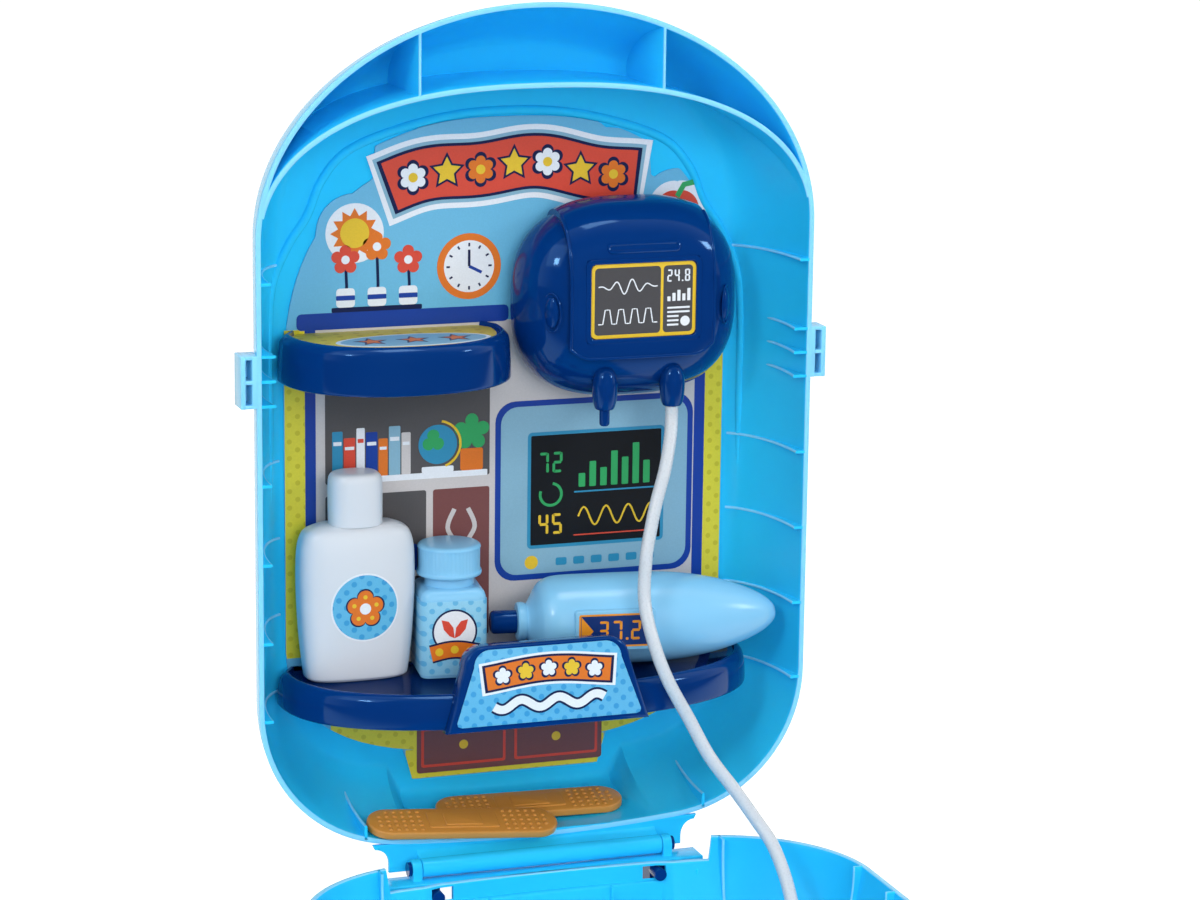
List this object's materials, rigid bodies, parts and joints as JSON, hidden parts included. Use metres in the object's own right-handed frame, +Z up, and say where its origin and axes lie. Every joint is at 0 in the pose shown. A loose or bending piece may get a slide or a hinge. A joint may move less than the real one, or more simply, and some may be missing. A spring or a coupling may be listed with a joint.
{
  "type": "toy doctor case",
  "caption": "Moulded clamshell toy case whose upright lid holds two shelves, a toy monitor with an air tube, a bottle, a jar, a thermometer and toy plasters",
  "frame": {"origin": "middle of the base's flat underside, on the surface the case stands on", "axes": "X to the right along the hinge, -Y towards the child in front of the open case, Z up"},
  "size_m": [0.253, 0.4136, 0.4003],
  "materials": {
    "shell_blue": "light blue moulded plastic, satin",
    "gloss_navy": "dark blue moulded plastic, glossy",
    "printed_card": "printed and varnished card",
    "sticker_yellow": "printed glossy sticker",
    "sticker_blue": "printed glossy sticker",
    "screen_print": "printed glossy sticker, grey",
    "screw_steel": "zinc plated",
    "tube_white": "white flexible plastic",
    "bottle_white": "white moulded plastic, satin",
    "light_blue": "pale blue moulded plastic",
    "plaster_tan": "tan moulded plastic"
  },
  "bodies": {
    "base": {"base_shell": "shell_blue", "stand_foot_left": "gloss_navy", "stand_foot_right": "gloss_navy", "hinge_pin_left": "gloss_navy", "hinge_pin_right": "gloss_navy", "sensor_head": "gloss_navy", "sensor_rim": "tube_white"},
    "lid": {"lid_shell": "shell_blue", "backing_card": "printed_card", "upper_shelf": "gloss_navy", "upper_shelf_sticker": "sticker_yellow", "lower_shelf": "gloss_navy", "sign_sticker": "sticker_blue", "monitor_housing": "gloss_navy", "monitor_front": "gloss_navy", "monitor_screen": "screen_print", "fixing_screws": "screw_steel", "air_tube": "tube_white"},
    "bottle": {"bottle_body": "bottle_white", "bottle_cap": "bottle_white", "bottle_label": "sticker_blue"},
    "jar": {"jar_body": "light_blue", "jar_cap": "light_blue", "jar_label": "sticker_blue"},
    "thermometer": {"thermometer_body": "light_blue", "thermometer_tip": "gloss_navy", "thermometer_display": "screen_print"},
    "front_plaster": {"plaster_front": "plaster_tan"},
    "rear_plaster": {"plaster_rear": "plaster_tan"}
  },
  "joints": [
    {"name": "case_hinge", "type": "hinge", "parent": "base", "child": "lid", "pos_m": [0, 0.1825, 0.0418], "axis": [1, 0, 0], "range_deg": [0, 90], "deforming": ["air_tube"]},
    {"name": "bottle_lift", "type": "slide", "parent": "lid", "child": "bottle", "axis": [0, 0, 1], "range_m": [0, 0.03]},
    {"name": "jar_lift", "type": "slide", "parent": "lid", "child": "jar", "axis": [0, 0, 1], "range_m": [0, 0.05]},
    {"name": "thermometer_lift", "type": "slide", "parent": "lid", "child": "thermometer", "axis": [0, 0, 1], "range_m": [0, 0.03]},
    {"name": "front_plaster_lift", "type": "slide", "parent": "lid", "child": "front_plaster", "axis": [0, 0, 1], "range_m": [0, 0.03]},
    {"name": "rear_plaster_lift", "type": "slide", "parent": "lid", "child": "rear_plaster", "axis": [0, 0, 1], "range_m": [0, 0.03]}
  ]
}
